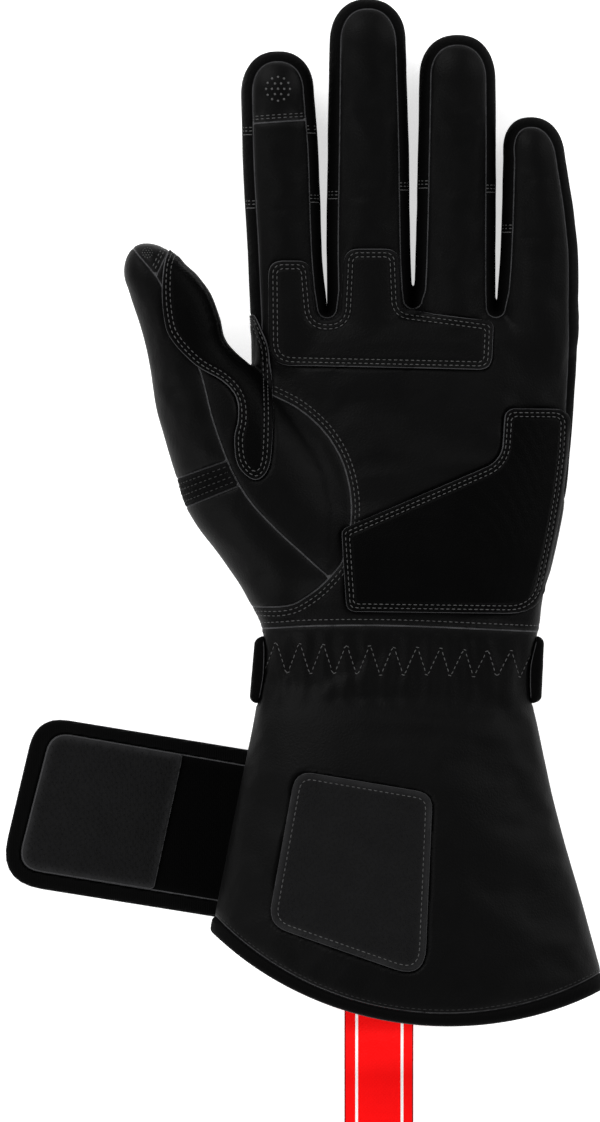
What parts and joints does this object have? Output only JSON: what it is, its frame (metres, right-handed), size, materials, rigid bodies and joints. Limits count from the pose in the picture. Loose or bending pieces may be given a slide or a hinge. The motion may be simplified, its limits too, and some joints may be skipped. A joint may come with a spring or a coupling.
{
  "type": "motorcycle glove",
  "caption": "Left-hand gauntlet winter motorcycle glove of sewn leather panels, lying on its back, with raised palm patches, wrist strap, closing tab and a red pull loop.",
  "frame": {"origin": "below the middle of the glove, on the surface that its back rests on", "axes": "+X from the thumb side to the little finger, +Y from the mouth to the fingertips, +Z out of the palm"},
  "size_m": [0.1862, 0.356, 0.0495],
  "materials": {
    "shell_leather": "black drum-dyed goatskin, fine grain, semi-matt",
    "touch_leather": "smooth conductive black leather",
    "patch_leather": "deep black reinforcement leather, double stitched",
    "black_textile": "black stretch textile with a fine weave",
    "stretch_fabric": "ribbed black stretch fabric",
    "binding_tape": "black woven binding tape",
    "fastener_tape": "dark grey hook and loop tape",
    "red_ribbon": "woven red ribbon with two thin white lines"
  },
  "bodies": {
    "root": {"palm_panel": "shell_leather", "index_touch_tip": "touch_leather", "side_strip_index": "black_textile", "fourchette_index_middle": "black_textile", "fourchette_middle_ring": "black_textile", "fourchette_ring_little": "black_textile", "side_strip_little": "black_textile", "back_panel": "shell_leather", "knuckle_patch": "patch_leather", "heel_patch": "patch_leather", "thumb_front_panel": "shell_leather", "thumb_stretch_insert": "stretch_fabric", "thumb_base_panel": "shell_leather", "thumb_ball_panel": "shell_leather", "thumb_touch_tip": "touch_leather", "thumb_back_panel": "shell_leather", "thumb_crotch_patch": "patch_leather", "cuff_palm_panel": "shell_leather", "cuff_back_panel": "shell_leather", "hem_binding": "binding_tape", "cuff_loop_patch": "fastener_tape", "wrist_strap": "black_textile", "strap_tab_core": "black_textile", "strap_tab_binding": "binding_tape", "strap_tab_hook_pad": "fastener_tape", "pull_ribbon": "red_ribbon"}
  },
  "joints": []
}
